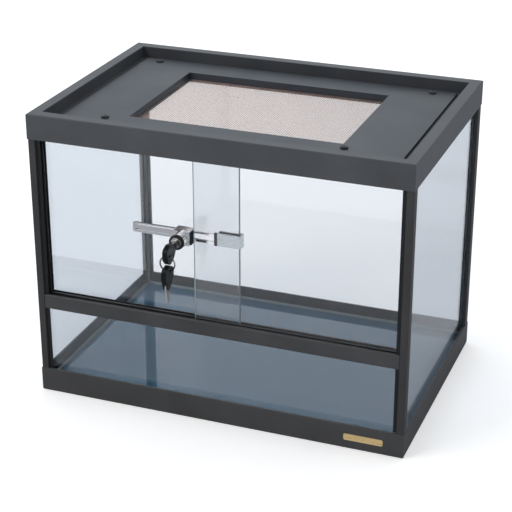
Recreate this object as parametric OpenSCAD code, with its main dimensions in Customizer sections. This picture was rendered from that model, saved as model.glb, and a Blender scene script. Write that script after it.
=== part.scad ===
// Glass pet cage with a screened top and two sliding front doors held by a
// ratchet lock with folding keys.
// Lengths are millimetres. X runs along the front, Y runs to the back, Z is up.
// The origin is the centre of the footprint, on the face that the cage rests on.
// An "inset" is a distance in from the nearest outer face of the cage.

/* [Cage] */
// Overall width, left to right
cage_w = 450; // [420:10:600]
// Overall depth, front to back
cage_d = 300; // [270:10:400]
// Overall height
cage_h = 350; // [320:10:450]

/* [Frames] */
// Height of the base frame
base_h = 30; // [24:1:40]
// Height of the top frame
top_h = 30; // [26:1:40]
// Wall thickness of both frames
wall_t = 3; // [2.4:0.2:3.2]
// Width of the top frame's flat rim
rim_w = 14; // [13:0.5:18]
// Width of the base frame's foot flange
foot_w = 16; // [10:1:24]
// Height of the ledge that carries the floor
floor_ledge_z = 12; // [10:1:16]
// Inset of the floor ledge's inner edge
floor_ledge_in = 30; // [20:1:40]
// Inset of the inner edge of the ledge that carries the top panel
vent_ledge_in = 56; // [50:1:57]
// Chamfer on the outer edges of both frames
frame_chamfer = 1; // [0.4:0.2:1.6]

/* [Posts] */
// Width of a front post on the front face
post_face_w = 9; // [8:0.5:12]
// Width of a front post on the side face
post_side_w = 12; // [10:0.5:16]
// Width of a rear post on both faces
rear_post_w = 14; // [10:0.5:20]
// How far the posts stand back from the faces of the frames
post_setback = 0.5; // [0.2:0.1:1]
// How far the tongue behind a post's face is set back
tongue_in = 3.2; // [3.2:0.1:3.5]
// Inset of the posts' inner faces
post_back_in = 4.7; // [4.3:0.1:4.8]
// Width of the dark lip beside a front post
lip_w = 5; // [3:0.5:7]

/* [Glass] */
// Thickness of every pane
glass_t = 4; // [3:0.5:4]
// Inset of the side and rear panes
pane_in = 5; // [5:0.1:5.4]
// Inset of the fixed pane under the doors
lower_pane_in = 6; // [5.5:0.5:7]
// Leg of the silicone beads
bead = 3; // [2:0.5:5]

/* [Doors] */
// How far the two doors overlap when they are shut
door_overlap = 52; // [40:1:80]
// Inset of the outer door
outer_door_in = 5; // [5:0.1:5.4]
// Gap between the two doors, which the lock's bar runs in
door_gap = 4; // [4:0.1:5]
// Height of the middle rail's underside
rail_z = 110; // [60:5:140]
// Height of the middle rail
rail_h = 18; // [16:1:30]
// Depth of the middle rail
rail_depth = 20; // [20:1:24]
// Depth of the rail's pocket that holds the lower track
track_pocket = 10; // [8:1:10]
// Depth of the lower track's grooves
lower_groove = 5; // [4:0.5:6]
// Depth of the upper track's grooves
upper_groove = 10.5; // [10:0.5:11]
// Thickness of the webs of the tracks and jambs
web_t = 1.5; // [1.2:0.1:2]
// Thickness of the tracks' front and rear legs
leg_t = 1.5; // [1.2:0.1:1.6]
// Thickness of the leg between the two doors
mid_leg_t = 3; // [2:0.2:3]
// How far the doors reach up into the upper track
door_reach = 4.5; // [4:0.5:6]

/* [Top panel] */
// Depth of the panel's face below the rim
vent_drop = 11; // [9:0.5:13]
// Gap between the rim and the panel's edge
vent_gap = 11; // [6:1:14]
// Thickness of the panel
vent_t = 3; // [2:0.5:4]
// Width of the screened window
window_w = 254; // [180:2:300]
// Depth of the screened window
window_d = 175; // [120:1:177]
// Thickness of the collar under the window's edge
collar_t = 3; // [2:0.5:3]
// Depth of the mesh below the panel's face
mesh_drop = 8.5; // [6:0.5:10]
// Thickness of the woven mesh
mesh_t = 0.8; // [0.5:0.1:1]
// How far the mesh laps under the collar
mesh_lap = 6; // [4:0.5:8]
// Width of the frame that holds the mesh
retainer_w = 9; // [7:0.5:12]
// Thickness of the frame that holds the mesh
retainer_t = 2.7; // [2:0.1:3.5]
// Diameter of a screw's head
screw_head_d = 9; // [7:0.5:10]
// Height of a screw's head
screw_head_h = 2.4; // [1.6:0.2:3]
// Diameter of a screw's shank
screw_d = 3.5; // [3:0.1:4]
// Length of a screw's shank
screw_len = 10; // [8:0.5:14]
// Length of each slot of a screw's cross
cross_len = 4.8; // [3:0.2:5]
// Width of each slot of a screw's cross
cross_w = 1; // [0.6:0.1:1.2]
// Depth of the cross
cross_depth = 1.1; // [0.6:0.1:1.2]
// Distance of the left front screw from the panel's left edge
screw_front_left = 49; // [30:1:60]
// Distance of the right front screw from the panel's right edge
screw_front_right = 68; // [30:1:80]
// Distance of the front screws from the panel's front edge
screw_front = 25; // [10:0.5:27]
// Distance of the left rear screw from the panel's left edge
screw_rear_left = 21; // [10:1:60]
// Distance of the right rear screw from the panel's right edge
screw_rear_right = 27; // [10:1:60]
// Distance of the rear screws from the panel's rear edge
screw_rear = 10; // [8:0.5:27]

/* [Badge] */
// Width of the plain plate on the base frame
badge_w = 46; // [20:1:60]
// Height of the plain plate
badge_h = 8; // [5:1:12]
// Thickness of the plain plate
badge_t = 0.6; // [0.4:0.1:1.2]
// Distance of the plate's right end from the cage's right face
badge_right = 24; // [10:1:60]

/* [Lock] */
// Height of the lock bar's centre line
lock_z = 228.5; // [180:0.5:280]
// Height of the bar
bar_h = 12; // [10:0.5:14]
// Height of the rib along the bar's lower edge
lower_rib_h = 3; // [2:0.5:3.5]
// Height of the rib along the bar's upper edge
upper_rib_h = 1.2; // [0.8:0.1:1.5]
// Gap between the ratchet teeth and each rib
rib_gap = 1.2; // [0.8:0.1:1.4]
// Thickness of the bar
bar_t = 2; // [1.6:0.1:2]
// How far the bar reaches to the left of the inner door's edge
bar_reach = 126; // [110:1:140]
// Pitch of the ratchet teeth
tooth_pitch = 2.5; // [2:0.5:4]
// Depth of the ratchet teeth
tooth_depth = 0.8; // [0.5:0.1:1]
// Length of the hook's leg behind the inner door
hook_len = 25; // [15:1:35]
// Height of the hook
hook_h = 15; // [13:0.5:18]
// Thickness of the liner in the hook
liner_t = 0.5; // [0.3:0.1:0.8]
// Width of the stop band at the start of the hook
band_w = 3.5; // [2:0.5:6]
// Width of the lock's block
block_w = 21; // [18:1:28]
// Height of the lock's block
block_h = 17; // [16:0.5:20]
// How far the block stands in front of the cage
block_front = 2; // [0:0.5:6]
// Diameter of the barrel
barrel_d = 18; // [16:0.5:20]
// Length of the barrel in front of the block
barrel_len = 11; // [6:1:18]
// Length of the dark collar at the barrel's end
collar_len = 3; // [2:0.5:5]
// Diameter of the turning plug
plug_d = 12; // [10:0.5:13]
// Width and height of the pawl
pawl_w = 8; // [6:0.5:9]
// Length of the pawl without its tooth
pawl_len = 6; // [5:0.5:6]
// How far the pawl moves towards the bar when the plug is turned to lock
pawl_travel = 1; // [0.9:0.1:1.2]
// Outer diameter of the pawl's spring
spring_d = 4; // [3:0.5:5]
// Wire diameter of the pawl's spring
spring_wire = 0.6; // [0.4:0.1:0.8]
// Thickness of the pad between the block and the outer door
pad_t = 1.2; // [0.8:0.1:2]

/* [Keys] */
// Length of a key's head
head_len = 28; // [26:1:36]
// Width of a key's head
head_w = 21; // [14:0.5:22]
// Thickness of a key's head
head_t = 6; // [5:0.5:7]
// Radius of a key's head at its pivot
head_pivot_r = 3.6; // [3.2:0.1:4]
// Radius of a key's head at its hole
head_hole_r = 5; // [4.5:0.5:6]
// Diameter of the hole for the key ring
key_hole_d = 4; // [3.6:0.1:4.4]
// Distance from the hole to the end of the head
key_hole_in = 7; // [6:0.5:8]
// Length of a key's blade from its pivot
blade_len = 21; // [16:1:22]
// Height of a key's blade
blade_h = 7; // [5:0.5:8]
// Thickness of a key's blade
blade_t = 2; // [1.6:0.1:2.2]
// Diameter of a key's pivot pin
key_pin_d = 2; // [1.6:0.1:2.4]
// Distance of the key's pivot in front of the plug's face
key_pivot_out = 7; // [7:0.5:9]
// Angle that the key's head leans out from plumb
head_lean = 70; // [50:1:90]
// Angle that the spare key leans out from plumb
spare_lean = 12; // [0:1:30]
// Angle between the spare key's head and its blade
spare_fold = 22; // [0:1:40]
// Mean diameter of the key ring
ring_d = 17.4; // [16:0.2:20]
// Wire diameter of the key ring
ring_wire = 1.6; // [1.2:0.1:1.8]

/* [Fits] */
// Gap between glass and what it stands beside
glass_fit = 0.3; // [0.2:0.1:0.5]
// Gap beside a door that slides
slide_fit = 0.5; // [0.3:0.1:0.5]
// Gap between a door's edge and its jamb
jamb_fit = 0.4; // [0.2:0.1:1]
// Gap around the bar in the lock's slot
bar_fit = 0.2; // [0.1:0.05:0.3]
// Radial gap of the lock's turning and sliding parts
lock_fit = 0.1; // [0.05:0.01:0.15]
// Radial gap of a key's pivot pin
pin_fit = 0.05; // [0.02:0.01:0.1]
// Radial gap of a screw in its hole
screw_fit = 0.05; // [0.02:0.01:0.1]
// Radial gap of a screw in the top panel
panel_hole_fit = 0.35; // [0.2:0.05:0.5]
// Room left in a key's hole for the curve of the ring
ring_play = 0.8; // [0.7:0.05:1]

/* [Hidden] */
$fn = 64;

// Faces of the cage
left_x = -cage_w / 2;
right_x = cage_w / 2;
front_y = -cage_d / 2;
rear_y = cage_d / 2;
top_z = cage_h - top_h;

// The glass channel and the panel's ledge in the top frame
ledge_top_z = cage_h - vent_drop - vent_t;
ledge_z = ledge_top_z - wall_t;
channel_top_z = cage_h - wall_t;
pane_top_z = channel_top_z - 1;
pane_back_in = pane_in + glass_t;
side_stop_in = pane_back_in + glass_fit;

// The doors, their tracks and their jambs, front to back
rail_front_in = 0.8;
mid_leg_in = outer_door_in + glass_t + slide_fit;
inner_door_in = outer_door_in + glass_t + door_gap;
rear_leg_in = inner_door_in + glass_t + slide_fit;
track_back_in = rear_leg_in + leg_t;
track_w = cage_w - 2 * max(side_stop_in, post_face_w + glass_fit);
rail_top_z = rail_z + rail_h;
groove_z = rail_top_z - lower_groove;
door_z = groove_z + glass_fit;
upper_track_z = ledge_z - web_t - upper_groove;
door_top_z = upper_track_z + door_reach;
door_h = door_top_z - door_z;
jamb_in = side_stop_in + web_t;
jamb_leg_in = post_face_w + lip_w;
door_stop_in = jamb_in + jamb_fit;
door_w = (cage_w - 2 * door_stop_in + door_overlap) / 2;
inner_door_x = left_x + door_stop_in;
inner_edge_x = inner_door_x + door_w;
outer_edge_x = right_x - door_stop_in - door_w;

// The screened panel
panel_in = rim_w + vent_gap;
panel_w = cage_w - 2 * panel_in;
panel_d = cage_d - 2 * panel_in;
panel_top_z = cage_h - vent_drop;
mesh_top_z = panel_top_z - mesh_drop;
screw_places = [
    [-panel_w / 2 + screw_front_left, -panel_d / 2 + screw_front],
    [panel_w / 2 - screw_front_right, -panel_d / 2 + screw_front],
    [-panel_w / 2 + screw_rear_left, panel_d / 2 - screw_rear],
    [panel_w / 2 - screw_rear_right, panel_d / 2 - screw_rear]
];

// The lock, with insets counted from the cage's front face
bar_back_in = inner_door_in - (door_gap - bar_t) / 2 - 0.3;
bar_front_in = bar_back_in - bar_t;
bar_left_x = inner_edge_x - bar_reach;
rib_t = bar_t - tooth_depth;
first_tooth_x = bar_left_x + 3;
tooth_low = lower_rib_h + rib_gap;
tooth_h = bar_h - tooth_low - upper_rib_h - rib_gap;
slot_front_in = bar_front_in - bar_fit;
slot_back_in = bar_back_in + bar_fit;
block_back_in = inner_door_in - glass_fit;
block_right_x = outer_edge_x - jamb_fit - pad_t;
block_x = block_right_x - block_w / 2;
barrel_front_in = -block_front - barrel_len;
collar_front_in = barrel_front_in - collar_len;
plug_front_in = collar_front_in - 0.3;
plug_back_in = 0.8;
pawl_shut_in = slot_front_in - lock_fit;
pawl_back_in = pawl_shut_in - pawl_travel;
pawl_front_in = pawl_back_in - pawl_len;
spring_bore = 4;
key_pivot = [block_x, front_y + plug_front_in - key_pivot_out, lock_z];
head_hole = head_len - head_pivot_r - key_hole_in;
ring_slack = key_hole_d / 2 - ring_wire / 2 - ring_play;
key_hole = key_pivot + head_hole * [0, -sin(head_lean), -cos(head_lean)];
ring_centre = key_hole - [0, 0, ring_slack + ring_d / 2];
spare_hole = ring_centre - [0, 0, ring_d / 2 + ring_slack];

// A box between two opposite corners
module box(low, high) {
    translate(low) cube(high - low);
}

// A flat outline with round corners
module rounded(w, d, r) {
    square([w - 2 * r, d], center = true);
    square([w, d - 2 * r], center = true);
    for (x = [-1, 1], y = [-1, 1])
        translate([x * (w / 2 - r), y * (d / 2 - r)]) circle(r);
}

// A rod along Y between two insets from the front face
module rod_y(d, from_in, to_in) {
    translate([0, front_y + to_in, 0])
        rotate([90, 0, 0]) cylinder(d = d, h = to_in - from_in);
}

// One side of a ring: its outline, as [inset, height] points, cut to a mitre
module mitred_side(run, reach, points) {
    intersection() {
        translate([-run / 2, 0, 0])
            rotate([90, 0, 90]) linear_extrude(run) polygon(points);
        linear_extrude(cage_h)
            polygon([
                [-run / 2, 0], [run / 2, 0],
                [run / 2 - reach, reach], [reach - run / 2, reach]
            ]);
    }
}

// A rectangular ring of one outline, mitred at its four corners
module mitred_ring(w, d, reach, points) {
    for (turn = [0, 180]) {
        rotate([0, 0, turn])
            translate([0, -d / 2, 0]) mitred_side(w, reach, points);
        rotate([0, 0, turn + 90])
            translate([0, -w / 2, 0]) mitred_side(d, reach, points);
    }
}

// Places a corner piece, drawn for the front left, at any corner of the cage
module at_corner(side, end) {
    translate([side * cage_w / 2, end * cage_d / 2, 0])
        mirror([side > 0 ? 1 : 0, 0, 0])
            mirror([0, end > 0 ? 1 : 0, 0]) children();
}

module base_frame() {
    c = frame_chamfer;
    color([0.13, 0.13, 0.14])
        mitred_ring(cage_w, cage_d, floor_ledge_in, [
            [c, 0], [foot_w, 0], [foot_w, wall_t], [wall_t, wall_t],
            [wall_t, floor_ledge_z - wall_t], [floor_ledge_in, floor_ledge_z - wall_t],
            [floor_ledge_in, floor_ledge_z], [wall_t, floor_ledge_z],
            [wall_t, base_h], [c / 2, base_h], [0, base_h - c / 2], [0, c]
        ]);
}

module top_frame() {
    c = frame_chamfer;
    inner_in = rim_w - wall_t;
    color([0.15, 0.15, 0.16])
        difference() {
            mitred_ring(cage_w, cage_d, vent_ledge_in, [
                [c / 2, top_z], [wall_t, top_z], [wall_t, channel_top_z],
                [inner_in, channel_top_z], [inner_in, ledge_z],
                [vent_ledge_in, ledge_z], [vent_ledge_in, ledge_top_z],
                [rim_w, ledge_top_z], [rim_w, cage_h - c / 2],
                [rim_w - c / 2, cage_h], [c, cage_h], [0, cage_h - c],
                [0, top_z + c / 2]
            ]);
            for (place = screw_places)
                translate([place[0], place[1], ledge_z - 1])
                    cylinder(d = screw_d + 2 * screw_fit, h = wall_t + 2);
        }
}

// The L-shaped core of a post, which both frames' channels take in
module post_core(face_w, side_w) {
    box([tongue_in, tongue_in, floor_ledge_z], [face_w, post_back_in, pane_top_z]);
    box([tongue_in, tongue_in, floor_ledge_z], [post_back_in, side_w, pane_top_z]);
}

// The part of a post between the frames, with its outer edge broken
module post_face(face_w, side_w) {
    translate([0, 0, base_h])
        linear_extrude(top_z - base_h)
            polygon([
                [post_setback, post_setback + 1], [post_setback + 1, post_setback],
                [face_w, post_setback], [face_w, post_back_in],
                [post_back_in, post_back_in], [post_back_in, side_w],
                [post_setback, side_w]
            ]);
}

module front_post(side) {
    color([0.14, 0.14, 0.14])
        at_corner(side, -1) {
            post_core(post_face_w, post_side_w);
            post_face(post_face_w, post_side_w);
            for (span = [[base_h, rail_z - glass_fit], [rail_top_z + glass_fit, top_z]])
                box([post_face_w, tongue_in, span[0]],
                    [post_face_w + lip_w, post_back_in, span[1]]);
        }
}

module rear_post(side) {
    color([0.14, 0.14, 0.14])
        at_corner(side, 1) {
            post_core(rear_post_w, rear_post_w);
            post_face(rear_post_w, rear_post_w);
        }
}

module floor_glass() {
    front_in = lower_pane_in + glass_t + glass_fit;
    color([0.5, 0.62, 0.62, 0.6])
        box([left_x + side_stop_in, front_y + front_in, floor_ledge_z],
            [right_x - side_stop_in, rear_y - side_stop_in, floor_ledge_z + glass_t]);
}

module side_glass(side) {
    color([0.8, 0.88, 0.9, 0.4])
        at_corner(side, -1)
            box([pane_in, pane_in, floor_ledge_z],
                [pane_back_in, cage_d - side_stop_in, pane_top_z]);
}

module rear_glass() {
    color([0.8, 0.88, 0.9, 0.4])
        box([left_x + pane_in, rear_y - pane_back_in, floor_ledge_z],
            [right_x - pane_in, rear_y - pane_in, pane_top_z]);
}

module lower_front_glass() {
    color([0.8, 0.88, 0.9, 0.4])
        box([left_x + side_stop_in, front_y + lower_pane_in, floor_ledge_z],
            [right_x - side_stop_in, front_y + lower_pane_in + glass_t, rail_z + 4]);
}

module middle_rail() {
    slot_front = lower_pane_in - glass_fit;
    slot_back = lower_pane_in + glass_t + glass_fit;
    pocket_z = rail_top_z - track_pocket;
    color([0.16, 0.16, 0.16])
        translate([-track_w / 2, front_y, 0])
            rotate([90, 0, 90])
                linear_extrude(track_w)
                    polygon([
                        [rail_front_in, rail_z + 1], [rail_front_in + 1, rail_z],
                        [slot_front, rail_z], [slot_front, rail_z + 4],
                        [slot_back, rail_z + 4], [slot_back, rail_z],
                        [rail_depth, rail_z], [rail_depth, pocket_z],
                        [outer_door_in - slide_fit - leg_t, pocket_z],
                        [outer_door_in - slide_fit - leg_t, rail_top_z],
                        [rail_front_in + 1, rail_top_z], [rail_front_in, rail_top_z - 1]
                    ]);
}

// The outline of a track with two grooves, its web at the height base
module track_outline(base, groove_floor, rim) {
    front = outer_door_in - slide_fit - leg_t;
    polygon([
        [front, base], [track_back_in, base], [track_back_in, rim],
        [rear_leg_in, rim], [rear_leg_in, groove_floor],
        [mid_leg_in + mid_leg_t, groove_floor], [mid_leg_in + mid_leg_t, rim],
        [mid_leg_in, rim], [mid_leg_in, groove_floor],
        [front + leg_t, groove_floor], [front + leg_t, rim], [front, rim]
    ]);
}

module lower_track() {
    color([0.1, 0.1, 0.11])
        translate([-track_w / 2, front_y, 0])
            rotate([90, 0, 90])
                linear_extrude(track_w)
                    track_outline(rail_top_z - track_pocket, groove_z, rail_top_z);
}

module upper_track() {
    color([0.1, 0.1, 0.11])
        translate([-track_w / 2, front_y, 0])
            rotate([90, 0, 90])
                linear_extrude(track_w)
                    track_outline(ledge_z, ledge_z - web_t, upper_track_z);
}

module jamb(side) {
    low = rail_top_z + glass_fit;
    high = upper_track_z - glass_fit;
    color([0.07, 0.07, 0.08])
        at_corner(side, -1) {
            box([side_stop_in, post_back_in + glass_fit, low],
                [jamb_in, track_back_in, high]);
            box([side_stop_in, mid_leg_in, low],
                [jamb_leg_in, mid_leg_in + mid_leg_t, high]);
            box([side_stop_in, rear_leg_in, low],
                [jamb_leg_in, track_back_in, high]);
        }
}

module floor_seal() {
    floor_z = floor_ledge_z + glass_t;
    front_in = lower_pane_in + glass_t;
    color([0.62, 0.66, 0.67, 0.7])
        translate([0, (front_in - pane_back_in) / 2, 0])
            mitred_ring(cage_w - 2 * pane_back_in, cage_d - front_in - pane_back_in, bead,
                [[0, floor_z], [bead, floor_z], [0, floor_z + bead]]);
}

// An upright bead of silicone in a corner, its legs along the two panes
module corner_bead(low, high) {
    translate([0, 0, low])
        linear_extrude(high - low) polygon([[0, 0], [bead, 0], [0, bead]]);
}

module corner_seals() {
    low = floor_ledge_z + glass_t + bead + 0.1;
    color([0.62, 0.66, 0.67, 0.7])
        for (side = [-1, 1]) {
            at_corner(side, 1)
                translate([pane_back_in, pane_back_in, 0])
                    corner_bead(low, ledge_z - glass_fit);
            at_corner(side, -1)
                translate([pane_back_in, lower_pane_in + glass_t, 0])
                    corner_bead(low, rail_z - glass_fit);
        }
}

module vent_panel() {
    color([0.2, 0.22, 0.24])
        difference() {
            union() {
                translate([0, 0, panel_top_z - vent_t])
                    linear_extrude(vent_t) rounded(panel_w, panel_d, 2);
                box([-window_w / 2 - collar_t, -window_d / 2 - collar_t, mesh_top_z],
                    [window_w / 2 + collar_t, window_d / 2 + collar_t, panel_top_z - 1]);
            }
            box([-window_w / 2, -window_d / 2, mesh_top_z - 1],
                [window_w / 2, window_d / 2, panel_top_z + 1]);
            for (place = screw_places)
                translate([place[0], place[1], ledge_z])
                    cylinder(d = screw_d + 2 * panel_hole_fit, h = panel_top_z);
        }
}

module vent_mesh() {
    lap = 2 * mesh_lap;
    color([0.72, 0.6, 0.56])
        translate([0, 0, mesh_top_z - mesh_t / 2])
            cube([window_w + lap, window_d + lap, mesh_t], center = true);
}

module mesh_retainer() {
    high = mesh_top_z - mesh_t;
    outer = 2 * retainer_w;
    color([0.1, 0.1, 0.11])
        difference() {
            translate([0, 0, high - retainer_t])
                linear_extrude(retainer_t) rounded(window_w + outer, window_d + outer, 3);
            box([-window_w / 2, -window_d / 2, high - retainer_t - 1],
                [window_w / 2, window_d / 2, high + 1]);
        }
}

// A cross-head screw, its head's underside at z = 0
module screw() {
    r = screw_head_d / 2;
    difference() {
        union() {
            translate([0, 0, -screw_len]) cylinder(d = screw_d, h = screw_len + 0.5);
            cylinder(r = r, h = screw_head_h - 1);
            translate([0, 0, screw_head_h - 1]) cylinder(r1 = r, r2 = r - 1.4, h = 1);
        }
        for (turn = [0, 90])
            rotate([0, 0, turn])
                translate([-cross_len / 2, -cross_w / 2, screw_head_h - cross_depth])
                    cube([cross_len, cross_w, cross_depth + 1]);
    }
}

module vent_screws() {
    color([0.08, 0.08, 0.08])
        for (place = screw_places)
            translate([place[0], place[1], panel_top_z]) screw();
}

module badge_plate() {
    color([0.78, 0.63, 0.36])
        translate([right_x - badge_right - badge_w / 2, front_y, base_h / 2])
            rotate([90, 0, 0]) linear_extrude(badge_t) rounded(badge_w, badge_h, 2);
}

module inner_door() {
    color([0.82, 0.9, 0.92, 0.4])
        box([inner_door_x, front_y + inner_door_in, door_z],
            [inner_edge_x, front_y + inner_door_in + glass_t, door_top_z]);
}

module outer_door() {
    color([0.82, 0.9, 0.92, 0.4])
        box([outer_edge_x, front_y + outer_door_in, door_z],
            [outer_edge_x + door_w, front_y + outer_door_in + glass_t, door_top_z]);
}

// The row of ratchet teeth, drawn as one saw-toothed outline seen from above
module tooth_row(count) {
    polygon(concat(
        [[0, 0]],
        [for (i = [0 : count - 1]) each
            [[i * tooth_pitch, -tooth_depth], [(i + 1) * tooth_pitch, 0]]]
    ));
}

module lock_bar() {
    low = lock_z - bar_h / 2;
    high = lock_z + bar_h / 2;
    teeth = floor((bar_reach - hook_len - band_w - 6) / tooth_pitch);
    hook_low = lock_z - hook_h / 2;
    hook_x = inner_edge_x + glass_fit + liner_t;
    hook_back_in = inner_door_in + glass_t + glass_fit + liner_t;
    hook_left_x = inner_edge_x - hook_len;
    front = front_y + bar_front_in;
    back = front_y + bar_back_in;
    color([0.82, 0.82, 0.84]) {
        box([bar_left_x, back - rib_t, low], [hook_left_x + 1, back, high]);
        box([bar_left_x, front, low], [hook_left_x, back - rib_t / 2, low + lower_rib_h]);
        box([bar_left_x, front, high - upper_rib_h], [hook_left_x, back - rib_t / 2, high]);
        translate([first_tooth_x, back - rib_t + 0.01, low + tooth_low])
            linear_extrude(tooth_h) tooth_row(teeth);
        box([bar_left_x - 2, front, low + 1], [bar_left_x + 0.5, back, high - 1]);
        box([hook_left_x, front, hook_low], [hook_x + bar_t, back, hook_low + hook_h]);
        box([hook_x, front, hook_low],
            [hook_x + bar_t, front_y + hook_back_in + bar_t, hook_low + hook_h]);
        box([hook_left_x, front_y + hook_back_in, hook_low],
            [hook_x + bar_t, front_y + hook_back_in + bar_t, hook_low + hook_h]);
    }
}

module bar_liner() {
    low = lock_z - hook_h / 2;
    high = lock_z + hook_h / 2;
    back = front_y + bar_back_in;
    web_x = inner_edge_x + glass_fit;
    rear = front_y + inner_door_in + glass_t + glass_fit;
    left = inner_edge_x - hook_len;
    color([0.06, 0.06, 0.06]) {
        box([left - band_w, back, low], [web_x + liner_t, back + liner_t, high]);
        box([web_x, back, low], [web_x + liner_t, rear + liner_t, high]);
        box([left, rear, low], [web_x + liner_t, rear + liner_t, high]);
        difference() {
            box([left - band_w, front_y + bar_front_in - liner_t, low], [left, back + liner_t, high]);
            box([left - band_w - 1, front_y + bar_front_in, lock_z - bar_h / 2],
                [left + 1, back, lock_z + bar_h / 2]);
        }
    }
}

// Moves a piece drawn about X = 0 and Z = 0 to the lock's axis
module at_lock() {
    translate([block_x, 0, lock_z]) children();
}

module lock_housing() {
    slot_h = bar_h + 2 * bar_fit;
    pawl_room = pawl_w + 2 * lock_fit;
    color([0.8, 0.8, 0.82])
        difference() {
            union() {
                translate([block_x, front_y + block_back_in, lock_z])
                    rotate([90, 0, 0])
                        linear_extrude(block_back_in + block_front)
                            rounded(block_w, block_h, 2.5);
                at_lock() rod_y(barrel_d, barrel_front_in, 1);
            }
            box([block_x - block_w, front_y + slot_front_in, lock_z - slot_h / 2],
                [block_x + block_w, front_y + slot_back_in, lock_z + slot_h / 2]);
            at_lock() rod_y(plug_d + 2 * lock_fit, barrel_front_in - 1, plug_back_in + 0.1);
            box([block_x - pawl_room / 2, front_y, lock_z - pawl_room / 2],
                [block_x + pawl_room / 2, front_y + slot_front_in + 0.1, lock_z + pawl_room / 2]);
        }
}

module lock_collar() {
    color([0.05, 0.05, 0.05])
        at_lock()
            difference() {
                rod_y(barrel_d - 1, collar_front_in, barrel_front_in);
                rod_y(plug_d + 2 * lock_fit, collar_front_in - 1, barrel_front_in + 1);
            }
}

module lock_pad() {
    color([0.06, 0.06, 0.06])
        box([block_right_x, front_y - 1, lock_z - block_h / 2 + 1],
            [block_right_x + pad_t, front_y + outer_door_in + glass_t, lock_z + block_h / 2 - 1]);
}

module lock_plug() {
    keyway = [blade_t + 2 * lock_fit, blade_h + 2 * lock_fit];
    color([0.75, 0.75, 0.77])
        at_lock()
            difference() {
                rod_y(plug_d, plug_front_in, plug_back_in);
                translate([-keyway[0] / 2, front_y + plug_front_in - 1, -keyway[1] / 2])
                    cube([keyway[0], blade_len - key_pivot_out + 2, keyway[1]]);
            }
}

module lock_pawl() {
    // Drawn back, as when unlocked. Turning the plug moves it by pawl_travel, and its
    // tooth then meets the steep flank of the bar tooth nearest the lock's axis.
    flank_x = first_tooth_x + tooth_pitch * round((block_x - first_tooth_x) / tooth_pitch);
    gap = 0.15;
    run = 1.6;
    root_in = bar_back_in - rib_t - pawl_travel;
    color([0.7, 0.68, 0.6]) {
        at_lock()
            difference() {
                translate([-pawl_w / 2, front_y + pawl_front_in, -pawl_w / 2])
                    cube([pawl_w, pawl_len, pawl_w]);
                rod_y(spring_d + 2 * lock_fit, pawl_front_in - 1, pawl_front_in + spring_bore);
            }
        translate([flank_x, front_y, lock_z - bar_h / 2 + tooth_low + 0.5])
            linear_extrude(tooth_h - 1)
                polygon([
                    [-run, pawl_back_in - 0.5], [-gap, pawl_back_in - 0.5],
                    [-gap, root_in - gap - 0.05],
                    [-run, root_in - gap - tooth_depth * run / tooth_pitch]
                ]);
    }
}

module pawl_spring() {
    low_in = plug_back_in + 0.3;
    high_in = pawl_front_in + spring_bore - 0.1;
    color([0.6, 0.6, 0.62])
        at_lock()
            difference() {
                rod_y(spring_d, low_in, high_in);
                rod_y(spring_d - 2 * spring_wire, low_in - 1, high_in + 1);
            }
}

// A key's blade, drawn from its pivot at the origin down to its tip
module blade() {
    cut = 0.9;
    color([0.78, 0.74, 0.62])
        difference() {
            union() {
                rotate([0, 90, 0]) cylinder(r = blade_h / 2, h = blade_t, center = true);
                translate([-blade_t / 2, 0, 0])
                    rotate([0, 90, 0])
                        linear_extrude(blade_t)
                            polygon([
                                [0, -blade_h / 2], [blade_len - 3, -blade_h / 2],
                                [blade_len, 0], [blade_len - 3, blade_h / 2 - cut],
                                [blade_len - 4.5, blade_h / 2 - 2 * cut],
                                [blade_len - 6, blade_h / 2 - cut],
                                [blade_len - 7.5, blade_h / 2 - 2.4 * cut],
                                [blade_len - 9, blade_h / 2 - cut],
                                [blade_len - 10.5, blade_h / 2 - 1.6 * cut],
                                [blade_len - 12, blade_h / 2], [0, blade_h / 2]
                            ]);
            }
            rotate([0, 90, 0])
                cylinder(d = key_pin_d + 2 * pin_fit, h = blade_t + 2, center = true);
        }
}

// A key's plastic head, drawn from its pivot at the origin down to its hole
module head() {
    slot = blade_t + 0.4;
    color([0.04, 0.04, 0.045])
        difference() {
            rotate([0, 90, 0])
                linear_extrude(head_t, center = true)
                    hull() {
                        circle(head_pivot_r, $fn = 32);
                        translate([head_len * 0.42, head_w / 2 - 4]) circle(4, $fn = 32);
                        translate([head_len * 0.42, 4 - head_w / 2]) circle(4, $fn = 32);
                        translate([head_len * 0.62, head_w / 2 - 5]) circle(5, $fn = 32);
                        translate([head_len * 0.62, 5 - head_w / 2]) circle(5, $fn = 32);
                        translate([head_len - head_pivot_r - head_hole_r, 0])
                            circle(head_hole_r, $fn = 32);
                    }
            box([-slot / 2, -head_w, -blade_h / 2 - 1.2], [slot / 2, head_w, head_pivot_r + 1]);
            rotate([0, 90, 0])
                cylinder(d = key_pin_d + 2 * pin_fit, h = head_t + 2, center = true);
            translate([0, 0, -head_hole])
                rotate([0, 90, 0]) cylinder(d = key_hole_d, h = head_t + 2, center = true);
        }
}

module pivot_pin() {
    color([0.7, 0.7, 0.72])
        rotate([0, 90, 0]) cylinder(d = key_pin_d, h = head_t - 0.4, center = true);
}

module key_blade() {
    translate(key_pivot) rotate([90, 0, 0]) blade();
}

module key_head() {
    translate(key_pivot) rotate([-head_lean, 0, 0]) head();
}

module key_pin() {
    translate(key_pivot) pivot_pin();
}

module key_ring() {
    color([0.8, 0.8, 0.82])
        translate(ring_centre)
            rotate([90, 0, 0])
                rotate_extrude() translate([ring_d / 2, 0]) circle(d = ring_wire, $fn = 32);
}

// Leans what hangs from the key ring about the ring's lowest wire
module at_spare() {
    translate(spare_hole) rotate([-spare_lean, 0, 0]) children();
}

module spare_head() {
    at_spare()
        translate([0, 0, -head_hole]) rotate([180, 0, 0]) head();
}

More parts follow.
